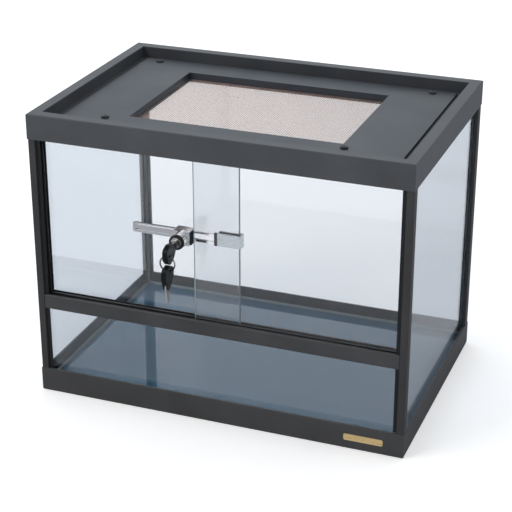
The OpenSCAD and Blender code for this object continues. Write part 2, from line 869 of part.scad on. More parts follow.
module spare_blade() {
    at_spare()
        translate([0, 0, -head_hole]) rotate([spare_fold, 0, 0]) blade();
}

module spare_pin() {
    at_spare() translate([0, 0, -head_hole]) pivot_pin();
}

base_frame();
floor_glass();
front_post(-1);  // front_left_post
front_post(1);  // front_right_post
rear_post(-1);  // rear_left_post
rear_post(1);  // rear_right_post
side_glass(-1);  // left_glass
side_glass(1);  // right_glass
rear_glass();
lower_front_glass();
middle_rail();
lower_track();
upper_track();
jamb(-1);  // left_jamb
jamb(1);  // right_jamb
floor_seal();
corner_seals();
top_frame();
vent_panel();
vent_mesh();
mesh_retainer();
vent_screws();
badge_plate();
inner_door();
outer_door();
lock_bar();
bar_liner();
lock_housing();
lock_collar();
lock_pad();
lock_plug();
lock_pawl();
pawl_spring();
key_blade();
key_head();
key_pin();
key_ring();
spare_blade();
spare_head();
spare_pin();
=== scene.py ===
"""Finishes a glass hamster cage: screened top, sliding glass doors, ratchet lock.

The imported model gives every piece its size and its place. Each class below finishes
one sub-assembly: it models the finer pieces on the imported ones, then dresses them.
Lengths are metres unless a name or a docstring says millimetres.
"""

import logging
import math
from dataclasses import dataclass, field
from enum import Enum

import bpy
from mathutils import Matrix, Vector


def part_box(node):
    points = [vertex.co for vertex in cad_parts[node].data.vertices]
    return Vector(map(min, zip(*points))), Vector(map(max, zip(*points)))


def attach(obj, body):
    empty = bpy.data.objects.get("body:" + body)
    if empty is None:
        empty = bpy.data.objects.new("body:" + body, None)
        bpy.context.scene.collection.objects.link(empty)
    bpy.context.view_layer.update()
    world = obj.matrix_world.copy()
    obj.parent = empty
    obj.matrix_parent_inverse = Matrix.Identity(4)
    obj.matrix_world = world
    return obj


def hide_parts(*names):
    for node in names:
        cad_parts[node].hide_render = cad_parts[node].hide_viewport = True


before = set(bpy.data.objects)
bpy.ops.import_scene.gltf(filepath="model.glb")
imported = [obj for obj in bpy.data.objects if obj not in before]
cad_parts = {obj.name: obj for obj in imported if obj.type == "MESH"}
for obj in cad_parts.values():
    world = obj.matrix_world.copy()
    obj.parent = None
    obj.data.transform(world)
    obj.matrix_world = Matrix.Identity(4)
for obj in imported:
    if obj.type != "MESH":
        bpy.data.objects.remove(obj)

LOG = logging.getLogger("cage")
MM = 0.001

Colour = tuple[float, float, float]
Piece = bpy.types.Object
Socket = bpy.types.NodeSocket


class Body(Enum):
    """The moving and fixed bodies that pieces ride on."""

    CAGE = "cage"
    INNER_DOOR = "inner_door"
    OUTER_DOOR = "outer_door"
    LOCK = "lock_body"
    PLUG = "lock_plug"
    PAWL = "pawl"
    KEY = "key"
    KEY_HEAD = "key_head"
    RING = "key_ring"
    SPARE = "spare_key"
    SPARE_BLADE = "spare_blade"


class Slot(Enum):
    """The record's material slots."""

    BASE = "base_black"
    POST = "post_black"
    TOP = "top_black"
    RAIL = "rail_black"
    TRACK = "track_black"
    JAMB = "jamb_black"
    PANEL = "panel_black"
    PANE = "clear_glass"
    DOOR = "door_glass"
    FLOOR = "floor_glass"
    SILICONE = "silicone"
    WIRE = "mesh_wire"
    SCREW = "black_screw"
    BADGE = "gold_plate"
    CHROME = "lock_chrome"
    PLUG = "plug_steel"
    PAWL = "pawl_brass"
    KEY_METAL = "key_steel"
    KEY_GRIP = "key_black"
    RUBBER = "black_rubber"


class Axis(Enum):
    """The directions that a run of wire or a brushed surface may take."""

    ACROSS = "X"
    DEEP = "Y"
    UP = "Z"


# --------------------------------------------------------------------------- nodes


class Wiring:
    """Adds and joins the nodes of one material, world or group."""

    def __init__(self, tree: bpy.types.NodeTree) -> None:
        """Works on tree."""
        self.tree = tree

    def feed(self, socket: Socket, value: object) -> None:
        """Links an output to an input, or sets the input's own value.

        Args:
            socket: The input.
            value: An output socket, a number, or a tuple.
        """
        if isinstance(value, bpy.types.NodeSocket):
            self.tree.links.new(value, socket)
        elif socket.type == "RGBA" and len(value) == 3:
            socket.default_value = (*value, 1.0)
        else:
            socket.default_value = value

    def node(self, kind: str, settings: dict | None = None, **inputs: object) -> bpy.types.Node:
        """Adds a node.

        Args:
            kind: The node's type.
            settings: Properties of the node itself.
            inputs: What feeds its inputs, by name, with _ for a space.

        Returns:
            The new node.
        """
        made = self.tree.nodes.new(kind)
        for name, value in (settings or {}).items():
            setattr(made, name, value)
        for name, value in inputs.items():
            self.feed(made.inputs[name.replace("_", " ")], value)
        return made

    def maths(self, operation: str, first: object, second: object = 0.0, clamp: bool = False) -> Socket:
        """Adds a Math node.

        Args:
            operation: Its operation.
            first: Its first value.
            second: Its second value.
            clamp: True to keep the result between 0 and 1.

        Returns:
            The result.
        """
        made = self.node("ShaderNodeMath", {"operation": operation, "use_clamp": clamp})
        self.feed(made.inputs[0], first)
        self.feed(made.inputs[1], second)
        return made.outputs[0]

    def blend(self, share: object, low: object, high: object) -> Socket:
        """Mixes two colours.

        Args:
            share: How much of the second colour shows.
            low: The first colour.
            high: The second colour.

        Returns:
            The mixed colour.
        """
        made = self.node("ShaderNodeMix", {"data_type": "RGBA"})
        self.feed(made.inputs[0], share)
        self.feed(made.inputs[6], low)
        self.feed(made.inputs[7], high)
        return made.outputs[2]

    def spread(
        self, value: object, low: float, high: float, to_low: float = 0.0, to_high: float = 1.0
    ) -> Socket:
        """Stretches a range of values over another, and holds it there.

        Args:
            value: The value.
            low: The lowest value that counts.
            high: The highest value that counts.
            to_low: What low becomes.
            to_high: What high becomes.

        Returns:
            The stretched value.
        """
        return self.node(
            "ShaderNodeMapRange", Value=value, From_Min=low, From_Max=high, To_Min=to_low, To_Max=to_high,
        ).outputs[0]

    def noise(self, place: Socket, scale: object, detail: float = 3.0) -> Socket:
        """Adds a Noise Texture.

        Args:
            place: Its coordinates.
            scale: Its scale.
            detail: Its detail.

        Returns:
            Its value, about 0.5 on average.
        """
        return self.node("ShaderNodeTexNoise", Vector=place, Scale=scale, Detail=detail).outputs[0]


class Effects:
    """The shader groups that several finishes share, each built once."""

    def __init__(self) -> None:
        """Starts with no group built."""
        self.built: dict[str, bpy.types.NodeTree] = {}

    def use(self, wiring: Wiring, name: str, **inputs: object) -> bpy.types.Node:
        """Places a group in a material.

        Args:
            wiring: The material's wiring.
            name: The group's name, which is also its builder's name here.
            inputs: What feeds the group's inputs.

        Returns:
            The group node.
        """
        if name not in self.built:
            self.built[name] = getattr(self, name)(name)
        placed = wiring.node("ShaderNodeGroup", {"node_tree": self.built[name]})
        for key, value in inputs.items():
            wiring.feed(placed.inputs[key], value)
        return placed

    @staticmethod
    def _start(
        name: str, inputs: dict[str, float | None], outputs: tuple[str, ...],
    ) -> tuple[Wiring, dict, bpy.types.Node]:
        """Starts a group.

        Args:
            name: The group's name.
            inputs: Its inputs' usual values, with None for a vector.
            outputs: Its outputs' names.

        Returns:
            Its wiring, its inputs by name, and its output node.
        """
        tree = bpy.data.node_groups.new(name, "ShaderNodeTree")
        for key, value in inputs.items():
            kind = "NodeSocketVector" if value is None else "NodeSocketFloat"
            made = tree.interface.new_socket(key, in_out="INPUT", socket_type=kind)
            if value is not None:
                made.default_value = value
        for key in outputs:
            tree.interface.new_socket(key, in_out="OUTPUT", socket_type="NodeSocketFloat")
        wiring = Wiring(tree)
        return wiring, wiring.node("NodeGroupInput").outputs, wiring.node("NodeGroupOutput")

    def edge_wear(self, name: str) -> bpy.types.NodeTree:
        """Finds rubbed edges: Mask is 1 where an edge is worn.

        Args:
            name: The group's name.

        Returns:
            The group.
        """
        sockets = {"Place": None, "Reach": 0.0006, "Strength": 1.0}
        wiring, given, result = self._start(name, sockets, ("Mask",))
        rounded = wiring.node("ShaderNodeBevel", {"samples": 4}, Radius=given["Reach"])
        flat = wiring.node("ShaderNodeNewGeometry")
        turn = wiring.node("ShaderNodeVectorMath", {"operation": "DOT_PRODUCT"})
        wiring.feed(turn.inputs[0], rounded.outputs[0])
        wiring.feed(turn.inputs[1], flat.outputs["Normal"])
        edge = wiring.spread(wiring.maths("SUBTRACT", 1.0, turn.outputs["Value"]), 0.02, 0.3)
        broken = wiring.spread(wiring.noise(given["Place"], 160.0, 4.0), 0.35, 0.7)
        mask = wiring.maths("MULTIPLY", wiring.maths("MULTIPLY", edge, broken), given["Strength"], True)
        wiring.feed(result.inputs["Mask"], mask)
        return wiring.tree

    def moulded_grain(self, name: str) -> bpy.types.NodeTree:
        """Gives the fine pebble of moulded plastic: Height for a bump, Cloud for slow variation.

        Args:
            name: The group's name.

        Returns:
            The group.
        """
        wiring, given, result = self._start(name, {"Place": None, "Scale": 1800.0}, ("Height", "Cloud"))
        pebble = wiring.node(
            "ShaderNodeTexVoronoi", {"feature": "SMOOTH_F1"}, Vector=given["Place"], Scale=given["Scale"],
        )
        fine = wiring.noise(given["Place"], wiring.maths("MULTIPLY", given["Scale"], 0.6), 4.0)
        height = wiring.maths("ADD", wiring.maths("MULTIPLY", pebble.outputs["Distance"], 0.6), fine)
        wiring.feed(result.inputs["Height"], height)
        cloud = wiring.noise(given["Place"], wiring.maths("MULTIPLY", given["Scale"], 0.008), 3.0)
        wiring.feed(result.inputs["Cloud"], wiring.spread(cloud, 0.3, 0.7))
        return wiring.tree

    def settled_dust(self, name: str) -> bpy.types.NodeTree:
        """Finds where dust has settled: Mask is greatest on broken patches of level faces.

        Args:
            name: The group's name.

        Returns:
            The group.
        """
        wiring, given, result = self._start(name, {"Place": None, "Amount": 0.2}, ("Mask",))
        normal = wiring.node("ShaderNodeNewGeometry").outputs["Normal"]
        facing = wiring.node("ShaderNodeSeparateXYZ", Vector=normal)
        level = wiring.spread(facing.outputs["Z"], 0.4, 1.0)
        patches = wiring.spread(wiring.noise(given["Place"], 22.0, 6.0), 0.35, 0.75)
        specks = wiring.spread(wiring.noise(given["Place"], 1400.0, 2.0), 0.45, 0.7)
        large, small = wiring.maths("MULTIPLY", patches, 0.6), wiring.maths("MULTIPLY", specks, 0.4)
        settled = wiring.maths("MULTIPLY", level, wiring.maths("ADD", large, small))
        wiring.feed(result.inputs["Mask"], wiring.maths("MULTIPLY", settled, given["Amount"], True))
        return wiring.tree

    def brushed_lines(self, name: str) -> bpy.types.NodeTree:
        """Gives fine parallel lines: Height for a bump, Streak for colour and gloss.

        Args:
            name: The group's name.

        Returns:
            The group.
        """
        wiring, given, result = self._start(name, {"Place": None}, ("Height", "Streak"))
        fine = wiring.noise(given["Place"], 900.0, 5.0)
        wiring.feed(result.inputs["Height"], fine)
        streak = wiring.noise(given["Place"], 240.0, 4.0)
        wiring.feed(result.inputs["Streak"], wiring.spread(streak, 0.3, 0.7))
        return wiring.tree

    def handling_smudges(self, name: str) -> bpy.types.NodeTree:
        """Finds the faint patches that hands leave on glass and chrome.

        Args:
            name: The group's name.

        Returns:
            The group.
        """
        wiring, given, result = self._start(name, {"Place": None, "Scale": 18.0}, ("Mask",))
        patches = wiring.spread(wiring.noise(given["Place"], given["Scale"], 5.0), 0.5, 0.75)
        finer = wiring.maths("MULTIPLY", given["Scale"], 14.0)
        streaks = wiring.spread(wiring.noise(given["Place"], finer, 3.0), 0.3, 0.8)
        wiring.feed(result.inputs["Mask"], wiring.maths("MULTIPLY", patches, streaks, True))
        return wiring.tree


# ------------------------------------------------------------------------ finishes


@dataclass(frozen=True)
class Finish:
    """A surface finish that can build its own material."""

    name: str

    def build(self, effects: Effects) -> bpy.types.Material:
        """Builds the material.

        Args:
            effects: The shared shader groups.

        Returns:
            The material.
        """
        material = bpy.data.materials.new(self.name)
        material.use_nodes = True
        material.node_tree.nodes.clear()
        wiring = Wiring(material.node_tree)
        place = wiring.node("ShaderNodeTexCoord").outputs["Object"]
        shader = self.shade(wiring, effects, place)
        wiring.node("ShaderNodeOutputMaterial", Surface=shader)
        return material

    def shade(self, wiring: Wiring, effects: Effects, place: Socket) -> Socket:
        """Joins up the shader. Each kind of finish has its own.

        Args:
            wiring: The material's wiring.
            effects: The shared shader groups.
            place: The piece's own coordinates.

        Returns:
            The shader's output.
        """
        raise NotImplementedError


@dataclass(frozen=True)
class Plastic(Finish):
    """Moulded or extruded plastic and rubber, with grain, rubbed edges and dust."""

    colour: Colour
    rubbed: Colour
    roughness: float = 0.42
    grain: float = 1800.0
    grain_depth: float = 0.00006
    wear: float = 0.5
    dust: float = 0.1
    dust_colour: Colour = (0.32, 0.31, 0.29)
    gloss: float = 0.5

    def shade(self, wiring: Wiring, effects: Effects, place: Socket) -> Socket:
        """Joins up the plastic's shader.

        Args:
            wiring: The material's wiring.
            effects: The shared shader groups.
            place: The piece's own coordinates.

        Returns:
            The shader's output.
        """
        grain = effects.use(wiring, "moulded_grain", Place=place, Scale=self.grain).outputs
        worn = effects.use(wiring, "edge_wear", Place=place, Strength=self.wear).outputs["Mask"]
        dusty = effects.use(wiring, "settled_dust", Place=place, Amount=self.dust).outputs["Mask"]
        deep = tuple(c * 0.86 for c in self.colour)
        pale = tuple(c * 1.14 for c in self.colour)
        colour = wiring.blend(grain["Cloud"], deep, pale)
        colour = wiring.blend(worn, colour, self.rubbed)
        colour = wiring.blend(dusty, colour, self.dust_colour)
        rough = wiring.spread(grain["Cloud"], 0.0, 1.0, self.roughness - 0.04, self.roughness + 0.05)
        rough = wiring.maths("ADD", rough, wiring.maths("MULTIPLY", dusty, 0.3), True)
        bump = wiring.node("ShaderNodeBump", Strength=0.35, Distance=self.grain_depth, Height=grain["Height"])
        return wiring.node(
            "ShaderNodeBsdfPrincipled", Base_Color=colour, Roughness=rough, Normal=bump.outputs[0],
            IOR=1.5, Specular_IOR_Level=self.gloss,
        ).outputs[0]


@dataclass(frozen=True)
class Glass(Finish):
    """Float glass that lets light past it, so that what is behind is lit."""

    tint: Colour
    smudged: float = 0.004
    clean: float = 0.0

    def shade(self, wiring: Wiring, effects: Effects, place: Socket) -> Socket:
        """Joins up the glass's shader.

        Args:
            wiring: The material's wiring.
            effects: The shared shader groups.
            place: The piece's own coordinates.

        Returns:
            The shader's output.
        """
        smudge = effects.use(wiring, "handling_smudges", Place=place).outputs["Mask"]
        rough = wiring.spread(smudge, 0.0, 1.0, self.clean, self.smudged)
        hazed = tuple(c * 0.985 for c in self.tint)
        colour = wiring.blend(smudge, self.tint, hazed)
        glass = wiring.node(
            "ShaderNodeBsdfPrincipled", Base_Color=colour, Roughness=rough, IOR=1.5, Transmission_Weight=1.0,
        )
        open_way = wiring.node("ShaderNodeBsdfTransparent", Color=self.tint)
        path = wiring.node("ShaderNodeLightPath")
        both = wiring.node("ShaderNodeMixShader")
        wiring.feed(both.inputs[0], path.outputs["Is Shadow Ray"])
        wiring.feed(both.inputs[1], glass.outputs[0])
        wiring.feed(both.inputs[2], open_way.outputs[0])
        return both.outputs[0]


@dataclass(frozen=True)
class TintAndPaintedShadeGlass(Finish):
    """The cage's glass floor: opaque and polished on top, its dark blue-grey colour the glass's tint plus
    painted shade of the dim space beneath it.
    """

    deep: Colour
    pale: Colour
    roughness: float = 0.03

    def shade(self, wiring: Wiring, effects: Effects, place: Socket) -> Socket:
        """Joins up the floor's shader.

        Args:
            wiring: The material's wiring.
            effects: The shared shader groups.
            place: The piece's own coordinates.

        Returns:
            The shader's output.
        """
        cloud = wiring.spread(wiring.noise(place, 5.0, 2.0), 0.3, 0.7)
        smudge = effects.use(wiring, "handling_smudges", Place=place, Scale=12.0).outputs["Mask"]
        # painted shade: the dark blue-grey stands in for the shadowed space under the floor, seen through its
        # tint
        colour = wiring.blend(cloud, self.deep, self.pale)
        rough = wiring.spread(smudge, 0.0, 1.0, self.roughness, self.roughness + 0.02)
        made = wiring.node("ShaderNodeBsdfPrincipled", Base_Color=colour, Roughness=rough, IOR=1.52)
        return made.outputs[0]


@dataclass(frozen=True)
class Metal(Finish):
    """Bare or plated metal, polished or brushed along one direction."""

    colour: Colour
    roughness: float
    brushed: Axis = Axis.ACROSS
    lines: float = 0.2
    tarnish: Colour = (0.2, 0.19, 0.18)
    metallic: float = 1.0

    def shade(self, wiring: Wiring, effects: Effects, place: Socket) -> Socket:
        """Joins up the metal's shader.

        Args:
            wiring: The material's wiring.
            effects: The shared shader groups.
            place: The piece's own coordinates.

        Returns:
            The shader's output.
        """
        stretch = tuple(0.05 if a is self.brushed else 1.0 for a in Axis)
        along = wiring.node("ShaderNodeMapping", Vector=place, Scale=stretch).outputs[0]
        brushed = effects.use(wiring, "brushed_lines", Place=along).outputs
        smudge = effects.use(wiring, "handling_smudges", Place=place, Scale=160.0).outputs["Mask"]
        worn = effects.use(wiring, "edge_wear", Place=place, Strength=0.5).outputs["Mask"]
        pale = tuple(min(1.0, c * 1.08) for c in self.colour)
        colour = wiring.blend(wiring.maths("MULTIPLY", brushed["Streak"], self.lines), self.colour, pale)
        colour = wiring.blend(wiring.maths("MULTIPLY", smudge, 0.25), colour, self.tarnish)
        colour = wiring.blend(worn, colour, pale)
        rough = wiring.spread(brushed["Streak"], 0.0, 1.0, self.roughness * 0.8, self.roughness * 1.25)
        rough = wiring.maths("ADD", rough, wiring.maths("MULTIPLY", smudge, 0.12), True)
        bump = wiring.node("ShaderNodeBump", Strength=self.lines, Distance=0.00003, Height=brushed["Height"])
        return wiring.node(
            "ShaderNodeBsdfPrincipled", Base_Color=colour, Metallic=self.metallic, Roughness=rough,
            Normal=bump.outputs[0],
        ).outputs[0]


@dataclass(frozen=True)
class Silicone(Finish):
    """Cloudy silicone with the small ripples of a smoothed bead."""

    colour: Colour = (0.24, 0.30, 0.32)

    def shade(self, wiring: Wiring, effects: Effects, place: Socket) -> Socket:
        """Joins up the silicone's shader.

        Args:
            wiring: The material's wiring.
            effects: The shared shader groups.
            place: The piece's own coordinates.

        Returns:
            The shader's output.
        """
        ripple = wiring.noise(place, 260.0, 2.0)
        dusty = effects.use(wiring, "settled_dust", Place=place, Amount=0.15).outputs["Mask"]
        milky = tuple(c * 0.8 for c in self.colour)
        colour = wiring.blend(wiring.spread(ripple, 0.3, 0.7), milky, self.colour)
        colour = wiring.blend(dusty, colour, (0.45, 0.44, 0.42))
        rough = wiring.spread(ripple, 0.3, 0.7, 0.36, 0.5)
        bump = wiring.node("ShaderNodeBump", Strength=0.25, Distance=0.0002, Height=ripple)
        return wiring.node(
            "ShaderNodeBsdfPrincipled", Base_Color=colour, Roughness=rough, Normal=bump.outputs[0],
            IOR=1.41, Transmission_Weight=0.25,
        ).outputs[0]


class Finishes:
    """The cage's finishes by name, each material built when it is first asked for."""

    BASE = Plastic("base_plastic", (0.048, 0.048, 0.049), (0.10, 0.10, 0.105), 0.4, gloss=0.3)
    POST = Plastic("post_plastic", (0.037, 0.037, 0.039), (0.08, 0.08, 0.08), 0.4, grain=2200.0, gloss=0.25)
    TOP = Plastic("top_plastic", (0.060, 0.064, 0.071), (0.12, 0.12, 0.13), 0.38, gloss=0.3)
    RAIL = Plastic("rail_plastic", (0.047, 0.048, 0.051), (0.09, 0.09, 0.09), 0.4, grain=2200.0, gloss=0.3)
    TRACK = Plastic("track_plastic", (0.014, 0.014, 0.015), (0.05, 0.05, 0.05), 0.5, wear=0.3)
    # painted shade: near-black for the set-back lip of the front posts, also put on the edge channels
    LIP = Plastic("lip_painted_shade", (0.007, 0.007, 0.008), (0.03, 0.03, 0.03), 0.6, wear=0.2, dust=0.03)
    PANEL = Plastic("panel_plastic", (0.034, 0.042, 0.053), (0.11, 0.12, 0.13), 0.42, grain=1500.0, gloss=0.5)
    RUBBER = Plastic("soft_rubber", (0.010, 0.010, 0.010), (0.04, 0.04, 0.04), 0.7, grain=3200.0, wear=0.2)
    GRIP = Plastic(
        "key_plastic", (0.005, 0.005, 0.006), (0.02, 0.02, 0.02), 0.3, 2600.0, 0.00002, dust=0.0, gloss=0.2
    )
    OXIDE = Plastic("oxide_black", (0.016, 0.016, 0.017), (0.16, 0.15, 0.14), 0.34, grain=3000.0, wear=0.8)
    PANE = Glass("pane_glass", (0.85, 0.865, 0.885))
    # painted shade: the side panes get a darker, bluer copy of the pane glass's tint
    SIDE = Glass("side_glass", (0.71, 0.75, 0.80))
    EDGE = Glass("ground_edge_glass", (0.34, 0.50, 0.48), smudged=0.5, clean=0.35)
    # the floor's dark blue-grey is its tint plus painted shade of the space beneath it
    FLOOR = TintAndPaintedShadeGlass("floor_tint_painted_shade", (0.042, 0.112, 0.176), (0.060, 0.136, 0.206))
    SILICONE = Silicone("silicone_bead")
    WIRE = Metal("woven_wire", (0.56, 0.39, 0.33), 0.34, lines=0.4)
    BADGE = Metal("brushed_gold", (0.90, 0.66, 0.32), 0.3, lines=0.8, metallic=0.6)
    CHROME = Metal("bright_chrome", (0.93, 0.92, 0.93), 0.1, lines=0.1)
    # painted shade: a darker, bluer copy of the chrome for the hook end of the ratchet bar
    CHROME_PAINTED_SHADE = Metal("hook_chrome_painted_shade", (0.56, 0.59, 0.61), 0.26, lines=0.4)
    STEEL = Metal("turned_steel", (0.78, 0.77, 0.76), 0.24, Axis.DEEP, 0.5)
    BRASS = Metal("milled_brass", (0.72, 0.55, 0.28), 0.3, Axis.UP, 0.5)
    NICKEL = Metal("nickel_plate", (0.80, 0.76, 0.68), 0.2, Axis.UP, 0.4)
    SPRUNG = Metal("sprung_steel", (0.26, 0.25, 0.25), 0.2, Axis.UP, 0.3)

    def __init__(self) -> None:
        """Starts with no material built."""
        self.effects = Effects()
        self.materials: dict[str, bpy.types.Material] = {}

    def material(self, finish: Finish) -> bpy.types.Material:
        """Gives a finish's material.

        Args:
            finish: The finish.

        Returns:
            Its material.
        """
        if finish.name not in self.materials:
            self.materials[finish.name] = finish.build(self.effects)
        return self.materials[finish.name]


# ----------------------------------------------------------------------- modelling


class Bench:
    """The modelling steps that every sub-assembly shares."""

    MERGE = 0.000002
    FLAT = math.radians(0.6)
    SMOOTH = math.radians(40)
    SQUARE_ON = 0.99

    @staticmethod
    def take(piece: Piece) -> None:
        """Selects one piece alone and makes it active."""
        bpy.ops.object.select_all(action="DESELECT")
        piece.select_set(True)
        bpy.context.view_layer.objects.active = piece

    @classmethod
    def copy_of(cls, node: str, name: str) -> Piece:
        """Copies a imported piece, welds its triangles and joins its flat faces.

        Args:
            node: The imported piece.
            name: The copy's name.

        Returns:
            The copy.
        """
        piece = bpy.data.objects.new(name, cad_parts[node].data.copy())
        piece.data.name = name
        piece.data.materials.clear()
        bpy.context.scene.collection.objects.link(piece)
        cls.take(piece)
        bpy.ops.mesh.customdata_custom_splitnormals_clear()
        bpy.ops.object.mode_set(mode="EDIT")
        bpy.ops.mesh.select_all(action="SELECT")
        bpy.ops.mesh.remove_doubles(threshold=cls.MERGE)
        bpy.ops.mesh.dissolve_limited(angle_limit=cls.FLAT)
        bpy.ops.object.mode_set(mode="OBJECT")
        return piece

    @classmethod
    def modify(cls, piece: Piece, kind: str, **settings: object) -> None:
        """Adds a modifier and applies it.

        Args:
            piece: The piece.
            kind: The modifier's type.
            settings: The modifier's properties.
        """
        cls.take(piece)
        made = piece.modifiers.new(kind.lower(), kind)
        for name, value in settings.items():
            setattr(made, name, value)
        bpy.ops.object.modifier_apply(modifier=made.name)

    @classmethod
    def soften(cls, piece: Piece, width: float, segments: int = 2, angle: float = 35.0) -> None:
        """Rounds a piece's edges and smooths what is left between them.

        Args:
            piece: The piece.
            width: The width of the rounding, in millimetres.
            segments: The number of faces across it.
            angle: The least turn, in degrees, that counts as an edge.
        """
        if width:
            cls.modify(
                piece, "BEVEL", width=width * MM, segments=segments, limit_method="ANGLE",
                angle_limit=math.radians(angle), use_clamp_overlap=True,
            )
        cls.take(piece)
        bpy.ops.object.shade_smooth_by_angle(angle=cls.SMOOTH)
        cls.modify(piece, "WEIGHTED_NORMAL", keep_sharp=True)

    @classmethod
    def close_ends(cls, piece: Piece) -> None:
        """Closes a piece's open ends and turns its faces outwards."""
        cls.take(piece)
        bpy.ops.object.mode_set(mode="EDIT")
        bpy.ops.mesh.select_all(action="SELECT")
        bpy.ops.mesh.fill_holes(sides=0)
        bpy.ops.mesh.select_all(action="SELECT")
        bpy.ops.mesh.normals_make_consistent(inside=False)
        bpy.ops.object.mode_set(mode="OBJECT")

    @classmethod
    def settle(cls, piece: Piece) -> None:
        """Moves a piece's place, turn and scale into its mesh."""
        cls.take(piece)
        bpy.ops.object.transform_apply(location=True, rotation=True, scale=True)

    @classmethod
    def pick(cls, piece: Piece, towards: Vector) -> None:
        """Opens a piece with only the faces selected that look one way.

        Args:
            piece: The piece.
            towards: The way that the faces look.
        """
        cls.take(piece)
        bpy.ops.object.mode_set(mode="EDIT")
        bpy.ops.mesh.select_mode(type="FACE")
        bpy.ops.mesh.select_all(action="DESELECT")
        bpy.ops.object.mode_set(mode="OBJECT")
        for face in piece.data.polygons:
            face.select = face.normal.dot(towards) > cls.SQUARE_ON
        bpy.ops.object.mode_set(mode="EDIT")


@dataclass
class SubAssembly:
    """A group of pieces that is built and then dressed."""

    finishes: Finishes
    pieces: dict[str, Piece] = field(default_factory=dict, init=False)

    def fit(self, piece: Piece, body: Body, slot: Slot, *nodes: str) -> Piece:
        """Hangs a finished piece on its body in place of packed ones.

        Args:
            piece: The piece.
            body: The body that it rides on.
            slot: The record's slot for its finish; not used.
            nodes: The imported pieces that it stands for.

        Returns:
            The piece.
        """
        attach(piece, body.value)
        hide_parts(*nodes)
        self.pieces[piece.name] = piece
        LOG.info("%-22s rides %-12s %6d faces", piece.name, body.value, len(piece.data.polygons))
        return piece

    def refine(self, node: str, name: str, body: Body, slot: Slot, width: float, segments: int = 2) -> Piece:
        """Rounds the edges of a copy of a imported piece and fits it.

        Args:
            node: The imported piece.
            name: The new piece's name.
            body: The body that it rides on.
            slot: The record's slot for its finish.
            width: The width of the rounding, in millimetres.
            segments: The number of faces across the rounding.

        Returns:
            The new piece.
        """
        piece = Bench.copy_of(node, name)
        Bench.soften(piece, width, segments)
        return self.fit(piece, body, slot, node)

    def paint(self, name: str, *finishes: Finish) -> None:
        """Gives a piece its materials, in the order of its face groups."""
        for finish in finishes:
            self.pieces[name].data.materials.append(self.finishes.material(finish))


@dataclass
class Frames(SubAssembly):
    """The moulded base and top frames, the four posts and the rail under the doors.

    The lip's sizes are insets from the outer faces, in millimetres.
    """

    moulding_edge: float = 0.35
    post_edge: float = 0.3
    rail_edge: float = 0.5
    lip_from: float = 9.1
    lip_set_back: float = 2.9

    def build(self) -> None:
        """Models the frames, posts and rail."""
        self.refine("base_frame", "base_moulding", Body.CAGE, Slot.BASE, self.moulding_edge)
        self.refine("top_frame", "top_moulding", Body.CAGE, Slot.TOP, self.moulding_edge)
        for node in ("front_left_post", "front_right_post", "rear_left_post", "rear_right_post"):
            upright = self.refine(node, node.replace("post", "upright"), Body.CAGE, Slot.POST, self.post_edge)
            if node.startswith("front"):
                self._mark_lip(upright)
        self.refine("middle_rail", "door_rail", Body.CAGE, Slot.RAIL, self.rail_edge, 3)

    def _mark_lip(self, upright: Piece) -> None:
        """Puts the faces of the set-back lip beside a front post, which gets near-black painted shade, in
        their own group.
        """
        low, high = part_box("base_frame")
        for face in upright.data.polygons:
            inset = min(face.center.x - low.x, high.x - face.center.x)
            deep = face.center.y - low.y
            face.material_index = int(inset > self.lip_from * MM and deep > self.lip_set_back * MM)

    def dress(self) -> None:
        """Gives the frames, posts and rail their plastic."""
        self.paint("base_moulding", Finishes.BASE)
        self.paint("top_moulding", Finishes.TOP)
        for end in ("front", "rear"):
            for side in ("left", "right"):
                # the lip faces get near-black painted shade
                self.paint(f"{end}_{side}_upright", Finishes.POST, Finishes.LIP)
        self.paint("door_rail", Finishes.RAIL)


@dataclass
class Panes(SubAssembly):
    """Flat glass with ground edges, fixed or sliding."""

    arris: float = 0.45

    def pane(self, node: str, name: str, body: Body, slot: Slot) -> Piece:
        """Models one pane with its arrises ground off.

        Args:
            node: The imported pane.
            name: The new piece's name.
            body: The body that it rides on.
            slot: The record's slot for its finish.

        Returns:
            The pane, with its narrow faces in a group of their own.
        """
        piece = self.refine(node, name, body, slot, self.arris, 1)
        low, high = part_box(node)
        size = high - low
        thin = min(range(3), key=lambda i: size[i])
        for face in piece.data.polygons:
            face.material_index = int(abs(face.normal[thin]) < Bench.SQUARE_ON)
        return piece


@dataclass
class Glazing(Panes):
    """The fixed panes, the floor and their silicone."""

    bead_edge: float = 0.5

    def build(self) -> None:
        """Models the fixed panes, the floor and the beads."""
        for node in ("left_glass", "right_glass", "rear_glass", "lower_front_glass"):
            self.pane(node, node.replace("glass", "pane"), Body.CAGE, Slot.PANE)
        self.pane("floor_glass", "floor_pane", Body.CAGE, Slot.FLOOR)
        self.refine("floor_seal", "floor_bead", Body.CAGE, Slot.SILICONE, self.bead_edge, 3)
        self.refine("corner_seals", "corner_beads", Body.CAGE, Slot.SILICONE, self.bead_edge, 3)

    def dress(self) -> None:
        """Gives the panes and beads their glass and silicone."""
        # the side panes get painted shade: a darker, bluer tint than the other panes
        for name in ("left_pane", "right_pane"):
            self.paint(name, Finishes.SIDE, Finishes.EDGE)
        for name in ("rear_pane", "lower_front_pane"):
            self.paint(name, Finishes.PANE, Finishes.EDGE)
        self.paint("floor_pane", Finishes.FLOOR, Finishes.EDGE)
        for name in ("floor_bead", "corner_beads"):
            self.paint(name, Finishes.SILICONE)


@dataclass
class Doors(Panes):
    """The two sliding doors."""

    def build(self) -> None:
        """Models both doors."""
        for door in (Body.INNER_DOOR, Body.OUTER_DOOR):
            self.pane(door.value, f"{door.value}_pane", door, Slot.DOOR)

    def dress(self) -> None:
        """Gives both doors their glass."""
        for name in ("inner_door_pane", "outer_door_pane"):
            self.paint(name, Finishes.PANE, Finishes.EDGE)


